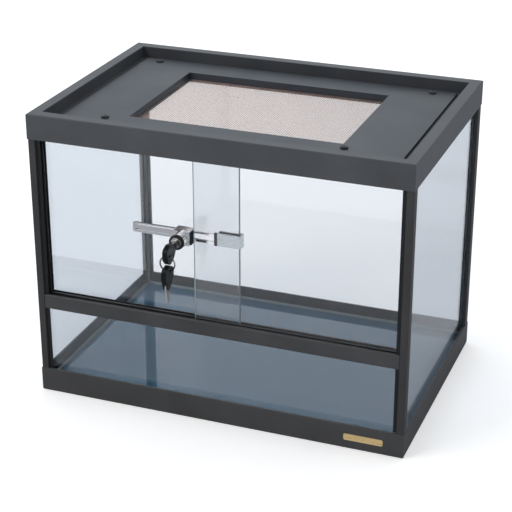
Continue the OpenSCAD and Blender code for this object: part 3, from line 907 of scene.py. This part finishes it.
@dataclass
class Runners(SubAssembly):
    """The channels that the doors slide and close in."""

    edge: float = 0.2

    def build(self) -> None:
        """Models the tracks and the jambs."""
        for end in ("lower", "upper"):
            self.refine(f"{end}_track", f"{end}_runner", Body.CAGE, Slot.TRACK, self.edge)
        for side in ("left", "right"):
            self.refine(f"{side}_jamb", f"{side}_edge_channel", Body.CAGE, Slot.JAMB, self.edge)

    def dress(self) -> None:
        """Gives the channels their plastic."""
        for name in ("lower_runner", "upper_runner"):
            self.paint(name, Finishes.TRACK)
        for name in ("left_edge_channel", "right_edge_channel"):
            # the edge channels get the lip's near-black painted shade
            self.paint(name, Finishes.LIP)


@dataclass
class ScreenedTop(SubAssembly):
    """The lift-out panel with its woven mesh, clamp and screws.

    wire is the wire's thickness in millimetres, which is half of the mesh's. The wires
    are rolled flat, so that each is flatness times as wide as it is thick.
    """

    wire: float = 0.4
    flatness: float = 2.1
    wires_across: int = 100
    wires_deep: int = 70
    panel_edge: float = 0.4
    screw_edge: float = 0.15

    def build(self) -> None:
        """Models the panel, the mesh, the clamp and the screws."""
        self.refine("vent_panel", "vent_plate", Body.CAGE, Slot.PANEL, self.panel_edge, 3)
        self.refine("mesh_retainer", "mesh_clamp", Body.CAGE, Slot.PANEL, self.panel_edge)
        self.refine("vent_screws", "clamp_screws", Body.CAGE, Slot.SCREW, self.screw_edge)
        for name, axis in (("mesh_long_wires", Axis.ACROSS), ("mesh_cross_wires", Axis.DEEP)):
            self.fit(self._weave(name, axis), Body.CAGE, Slot.WIRE, "vent_mesh")

    def _weave(self, name: str, axis: Axis) -> Piece:
        """Models all the wires of the mesh that run one way.

        Args:
            name: The new piece's name.
            axis: The way that the wires run.

        Returns:
            The wires as one piece.
        """
        low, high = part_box("vent_mesh")
        size = high - low
        pitch = Vector((size.x / self.wires_across, size.y / self.wires_deep, 0.0))
        first = Vector((low.x + pitch.x / 2, low.y + pitch.y / 2, (low.z + high.z) / 2))
        long_way = axis is Axis.ACROSS
        step = Vector((pitch.x, 0, 0)) if long_way else Vector((0, pitch.y, 0))
        across = Vector((0, pitch.y, 0)) if long_way else Vector((pitch.x, 0, 0))
        crossings, runs = (
            (self.wires_across, self.wires_deep) if long_way else (self.wires_deep, self.wires_across)
        )
        rise = 1 if long_way else -1
        pair = []
        for lane in range(2):
            up = rise * (1 if lane == 0 else -1)
            pair.append(self._wire(f"{name}_{lane}", first + across * lane, step, crossings, up, axis))
        Bench.take(pair[0])
        pair[1].select_set(True)
        bpy.ops.object.join()
        wires = pair[0]
        wires.name = wires.data.name = name
        Bench.modify(
            wires, "ARRAY", count=runs // 2, use_relative_offset=False, use_constant_offset=True,
            constant_offset_displace=across * 2,
        )
        Bench.take(wires)
        bpy.ops.object.shade_smooth()
        return wires

    def _wire(self, name: str, start: Vector, step: Vector, crossings: int, up: int, axis: Axis) -> Piece:
        """Models one wire that passes over and under the wires it crosses.

        Args:
            name: The wire's name.
            start: Its first crossing, at the middle of the mesh's thickness.
            step: The way to its next crossing.
            crossings: The number of wires that it crosses.
            up: 1 to start over the first wire, -1 to start under it.
            axis: The way that it runs.

        Returns:
            The wire.
        """
        half = self.wire / 2 * MM
        turn = (0, math.pi / 2, 0) if axis is Axis.ACROSS else (math.pi / 2, 0, 0)
        bpy.ops.object.select_all(action="DESELECT")
        bpy.ops.mesh.primitive_circle_add(
            vertices=4, radius=half, fill_type="NOTHING", location=start + Vector((0, 0, up * half)),
            rotation=turn, enter_editmode=True,
        )
        wire = bpy.context.object
        wire.name = name
        wide = (1.0, self.flatness, 1.0) if axis is Axis.ACROSS else (self.flatness, 1.0, 1.0)
        bpy.ops.transform.resize(value=wide)
        for crossing in range(1, crossings):
            drop = up * (-1) ** crossing * 2 * half
            bpy.ops.mesh.extrude_region_move(TRANSFORM_OT_translate={"value": step + Vector((0, 0, drop))})
        bpy.ops.object.mode_set(mode="OBJECT")
        Bench.settle(wire)
        Bench.close_ends(wire)
        return wire

    def dress(self) -> None:
        """Gives the panel, mesh and screws their finishes."""
        for name in ("vent_plate", "mesh_clamp"):
            self.paint(name, Finishes.PANEL)
        for name in ("mesh_long_wires", "mesh_cross_wires"):
            self.paint(name, Finishes.WIRE)
        self.paint("clamp_screws", Finishes.OXIDE)


@dataclass
class Badge(SubAssembly):
    """The plain plate on the front of the base, with a raised border.

    Sizes are millimetres.
    """

    border: float = 0.7
    sunk: float = 0.2
    edge: float = 0.12

    def build(self) -> None:
        """Models the plate."""
        plate = Bench.copy_of("badge_plate", "plain_badge")
        Bench.pick(plate, Vector((0, -1, 0)))
        bpy.ops.mesh.inset(thickness=self.border * MM, depth=0)
        bpy.ops.mesh.inset(thickness=self.sunk * MM, depth=-self.sunk * MM)
        bpy.ops.object.mode_set(mode="OBJECT")
        Bench.soften(plate, self.edge)
        self.fit(plate, Body.CAGE, Slot.BADGE, "badge_plate")

    def dress(self) -> None:
        """Gives the plate its brushed gold."""
        self.paint("plain_badge", Finishes.BADGE)


@dataclass
class Coil:
    """A round or flat wire wound about an axis along Y. Sizes are millimetres."""

    SIDES = 10

    radius: float
    wire_out: float
    wire_deep: float
    turns: int
    turn_angle: float
    pitch: float
    steps: int

    def wind(self, name: str, start: Vector) -> Piece:
        """Models the coil.

        Args:
            name: The new piece's name.
            start: The point on the axis where the coil begins.

        Returns:
            The coil.
        """
        bpy.ops.object.select_all(action="DESELECT")
        bpy.ops.mesh.primitive_circle_add(
            vertices=self.SIDES, radius=MM / 2, fill_type="NOTHING", location=start, enter_editmode=True,
        )
        coil = bpy.context.object
        coil.name = coil.data.name = name
        bpy.ops.transform.resize(value=(self.wire_out, self.wire_deep, 1.0))
        bpy.ops.transform.translate(value=(self.radius * MM, 0, 0))
        bpy.ops.object.mode_set(mode="OBJECT")
        Bench.modify(
            coil, "SCREW", axis="Y", angle=self.turn_angle, iterations=self.turns,
            screw_offset=self.pitch * MM, steps=self.steps, render_steps=self.steps,
        )
        Bench.settle(coil)
        Bench.close_ends(coil)
        Bench.soften(coil, 0)
        return coil


@dataclass
class DoorLock(SubAssembly):
    """The ratchet bar on the inner door and the lock that slides along it.

    Sizes are millimetres.
    """

    bar_edge: float = 0.18
    liner_edge: float = 0.12
    casing_edge: float = 0.4
    rubber_edge: float = 0.3
    plug_edge: float = 0.25
    pawl_edge: float = 0.2
    spring_wire: float = 0.6
    spring_turns: int = 6
    spring_steps: int = 20

    def build(self) -> None:
        """Models the bar, the lock and its spring."""
        self._bar()
        self.refine("bar_liner", "bar_rubber", Body.INNER_DOOR, Slot.RUBBER, self.liner_edge)
        self.refine("lock_housing", "lock_casing", Body.LOCK, Slot.CHROME, self.casing_edge, 3)
        self.refine("lock_collar", "lock_bezel", Body.LOCK, Slot.RUBBER, self.rubber_edge)
        self.refine("lock_pad", "lock_buffer", Body.LOCK, Slot.RUBBER, self.rubber_edge)
        self.refine("lock_plug", "lock_cylinder", Body.PLUG, Slot.PLUG, self.plug_edge, 3)
        self.refine("lock_pawl", "pawl_block", Body.PAWL, Slot.PAWL, self.pawl_edge)
        low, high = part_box("pawl_spring")
        wire = self.spring_wire
        outer = (high.x - low.x) / MM
        run = (high.y - low.y) / MM - wire
        turns = self.spring_turns
        coil = Coil(outer / 2 - wire / 2, wire, wire, turns, math.tau, run / turns, self.spring_steps)
        start = Vector(((low.x + high.x) / 2, low.y + wire / 2 * MM, (low.z + high.z) / 2))
        self.fit(coil.wind("coil_spring", start), Body.LOCK, Slot.PLUG, "pawl_spring")

    def _bar(self) -> None:
        """Models the bar, with the faces of its hook in a group of their own, which gets painted shade."""
        bar = Bench.copy_of("lock_bar", "ratchet_bar")
        hook_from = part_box("bar_liner")[0].x
        Bench.take(bar)
        bpy.ops.object.mode_set(mode="EDIT")
        bpy.ops.mesh.select_all(action="SELECT")
        bpy.ops.mesh.bisect(plane_co=(hook_from, 0, 0), plane_no=(1, 0, 0))
        bpy.ops.object.mode_set(mode="OBJECT")
        Bench.soften(bar, self.bar_edge)
        for face in bar.data.polygons:
            face.material_index = int(face.center.x > hook_from)
        self.fit(bar, Body.INNER_DOOR, Slot.CHROME, "lock_bar")

    def dress(self) -> None:
        """Gives the lock its chrome, steel, brass and rubber."""
        # painted shade: the hook end of the bar gets darker, bluer chrome
        self.paint("ratchet_bar", Finishes.CHROME, Finishes.CHROME_PAINTED_SHADE)
        self.paint("lock_casing", Finishes.CHROME)
        for name in ("bar_rubber", "lock_bezel", "lock_buffer"):
            self.paint(name, Finishes.RUBBER)
        for name in ("lock_cylinder", "coil_spring"):
            self.paint(name, Finishes.STEEL)
        self.paint("pawl_block", Finishes.BRASS)


@dataclass
class Keys(SubAssembly):
    """The key in the lock, the spare key and the split ring that joins them.

    Sizes are millimetres.
    """

    blade_edge: float = 0.2
    head_edge: float = 1.2
    pin_edge: float = 0.3
    ring_out: float = 1.5
    ring_deep: float = 0.72
    ring_turns: int = 2
    ring_turn: float = math.tau * 0.93
    ring_pitch: float = 0.76
    ring_steps: int = 40

    def build(self) -> None:
        """Models both keys and their ring."""
        for key, blade, head, pin in (
            ("key", Body.KEY, Body.KEY_HEAD, Body.KEY),
            ("spare", Body.SPARE_BLADE, Body.SPARE, Body.SPARE),
        ):
            self.refine(f"{key}_blade", f"{key}_shank", blade, Slot.KEY_METAL, self.blade_edge)
            self.refine(f"{key}_head", f"{key}_grip", head, Slot.KEY_GRIP, self.head_edge, 3)
            self.refine(f"{key}_pin", f"{key}_rivet", pin, Slot.KEY_METAL, self.pin_edge)
        low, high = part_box("key_ring")
        centre = (low + high) / 2
        mean = (high.x - low.x) / MM / 2 - self.ring_out / 2
        coil = Coil(
            mean, self.ring_out, self.ring_deep, self.ring_turns, self.ring_turn, self.ring_pitch,
            self.ring_steps,
        )
        start = centre - Vector((0, coil.pitch * MM, 0))
        self.fit(coil.wind("split_ring", start), Body.RING, Slot.CHROME, "key_ring")

    def dress(self) -> None:
        """Gives the keys their plating and plastic."""
        for name in ("key_shank", "spare_shank", "key_rivet", "spare_rivet"):
            self.paint(name, Finishes.NICKEL)
        for name in ("key_grip", "spare_grip"):
            self.paint(name, Finishes.GRIP)
        self.paint("split_ring", Finishes.SPRUNG)


# -------------------------------------------------------------------------- studio


@dataclass(frozen=True)
class SoftBox:
    """A square soft light that faces a point."""

    name: str
    place: tuple[float, float, float]
    size: float
    power: float
    colour: Colour = (1.0, 1.0, 1.0)
    aim: tuple[float, float, float] = (0.0, 0.0, 0.15)

    def hang(self) -> None:
        """Puts the light in the scene."""
        light = bpy.data.lights.new(self.name, "AREA")
        light.shape = "SQUARE"
        light.size, light.energy, light.color = self.size, self.power, self.colour
        lamp = bpy.data.objects.new(self.name, light)
        lamp.location = self.place
        towards = Vector(self.aim) - Vector(self.place)
        lamp.rotation_euler = towards.to_track_quat("-Z", "Y").to_euler()
        bpy.context.scene.collection.objects.link(lamp)


@dataclass(frozen=True)
class Studio:
    """The pale floor, the soft lights, the surroundings and the camera."""

    azimuth: float = 20.73
    elevation: float = 24.37
    distance: float = 1.8238
    aim: tuple[float, float, float] = (0.0, 0.0, 0.18)
    aim_left: float = 0.0063
    aim_down: float = 0.0285
    lens: float = 107.2
    floor_radius: float = 15.0
    floor_glow: float = 0.31
    mirrored_floor: Colour = (0.36, 0.37, 0.39)
    paper: tuple[Colour, Colour] = ((0.93, 0.928, 0.925), (0.95, 0.95, 0.948))
    room: tuple[Colour, Colour] = ((0.42, 0.43, 0.45), (0.95, 0.975, 1.0))
    mirrored_room: tuple[Colour, Colour] = ((0.30, 0.37, 0.40), (0.60, 0.64, 0.68))
    lights: tuple[SoftBox, ...] = (
        SoftBox("key_light", (-1.7, -1.9, 2.2), 1.6, 34.0, (1.0, 0.985, 0.97)),
        SoftBox("top_light", (-0.8, 2.1, 1.5), 1.3, 3.0, (0.86, 0.93, 1.0)),
        SoftBox("fill_light", (2.2, -1.2, 1.4), 1.4, 2.5, (0.92, 0.96, 1.0)),
    )

    def build(self) -> None:
        """Sets up the whole studio."""
        self._floor()
        self._surroundings()
        for light in self.lights:
            light.hang()
        self._camera()
        bpy.context.scene.view_settings.view_transform = "Standard"
        LOG.info("studio ready")

    def _floor(self) -> None:
        """Lays the pale floor."""
        bpy.ops.object.select_all(action="DESELECT")
        bpy.ops.mesh.primitive_circle_add(vertices=96, radius=self.floor_radius, fill_type="NGON")
        floor = bpy.context.object
        floor.name = "studio_floor"
        material = bpy.data.materials.new("studio_paper")
        material.use_nodes = True
        material.node_tree.nodes.clear()
        wiring = Wiring(material.node_tree)
        place = wiring.node("ShaderNodeTexCoord").outputs["Object"]
        fibre = wiring.noise(place, 60.0, 4.0)
        colour = wiring.blend(fibre, *self.paper)
        mirrored = self._mirrored(wiring)
        glow = wiring.maths("SUBTRACT", self.floor_glow, wiring.maths("MULTIPLY", mirrored, self.floor_glow))
        colour = wiring.blend(mirrored, colour, self.mirrored_floor)
        paper = wiring.node(
            "ShaderNodeBsdfPrincipled", Base_Color=colour, Roughness=0.85, Specular_IOR_Level=0.1,
            Emission_Color=(1.0, 1.0, 1.0), Emission_Strength=glow,
        )
        wiring.node("ShaderNodeOutputMaterial", Surface=paper.outputs[0])
        floor.data.materials.append(material)

    @staticmethod
    def _mirrored(wiring: Wiring) -> Socket:
        """Tells the light that a polished or plastic face mirrors from all other light.

        Args:
            wiring: The floor's or the room's wiring.

        Returns:
            1 for mirrored light, otherwise 0.
        """
        path = wiring.node("ShaderNodeLightPath").outputs
        return wiring.maths("MULTIPLY", path["Is Glossy Ray"], path["Is Reflection Ray"])

    def _surroundings(self) -> None:
        """Lights the room: bright behind the cage, dimmer behind the viewer."""
        world = bpy.data.worlds.new("studio_room")
        bpy.context.scene.world = world
        world.use_nodes = True
        world.node_tree.nodes.clear()
        wiring = Wiring(world.node_tree)
        direction = wiring.node("ShaderNodeTexCoord").outputs["Generated"]
        way = wiring.node("ShaderNodeSeparateXYZ", Vector=direction)
        behind = wiring.spread(way.outputs["Y"], -0.7, 0.35)
        colour = wiring.blend(behind, *self.room)
        shaded = wiring.blend(behind, *self.mirrored_room)
        colour = wiring.blend(self._mirrored(wiring), colour, shaded)
        seen = wiring.node("ShaderNodeLightPath").outputs["Is Camera Ray"]
        colour = wiring.blend(seen, colour, (1.0, 1.0, 1.0))
        room = wiring.node("ShaderNodeBackground", Color=colour, Strength=1.0)
        wiring.node("ShaderNodeOutputWorld", Surface=room.outputs[0])

    def _camera(self) -> None:
        """Makes the camera."""
        a, e = math.radians(self.azimuth), math.radians(self.elevation)
        back = Vector((math.sin(a) * math.cos(e), -math.cos(a) * math.cos(e), math.sin(e)))
        right = Vector((math.cos(a), math.sin(a), 0.0))
        up = back.cross(right)
        lens = bpy.data.cameras.new("camera")
        lens.lens = self.lens
        lens.sensor_width = 36.0
        lens.clip_start, lens.clip_end = 0.02, 60.0
        camera = bpy.data.objects.new("camera", lens)
        camera.location = Vector(self.aim) + back * self.distance - right * self.aim_left - up * self.aim_down
        camera.rotation_euler = (-back).to_track_quat("-Z", "Y").to_euler()
        bpy.context.scene.collection.objects.link(camera)
        bpy.context.scene.camera = camera


def main() -> None:
    """Builds the studio and every sub-assembly in order."""
    logging.basicConfig(level=logging.INFO, format="%(message)s")
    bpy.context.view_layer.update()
    Studio().build()
    finishes = Finishes()
    for kind in (Frames, Glazing, Runners, ScreenedTop, Badge, Doors, DoorLock, Keys):
        group = kind(finishes)
        group.build()
        group.dress()
        LOG.info("%s done: %d pieces", kind.__name__, len(group.pieces))


if __name__ == "__main__":
    main()
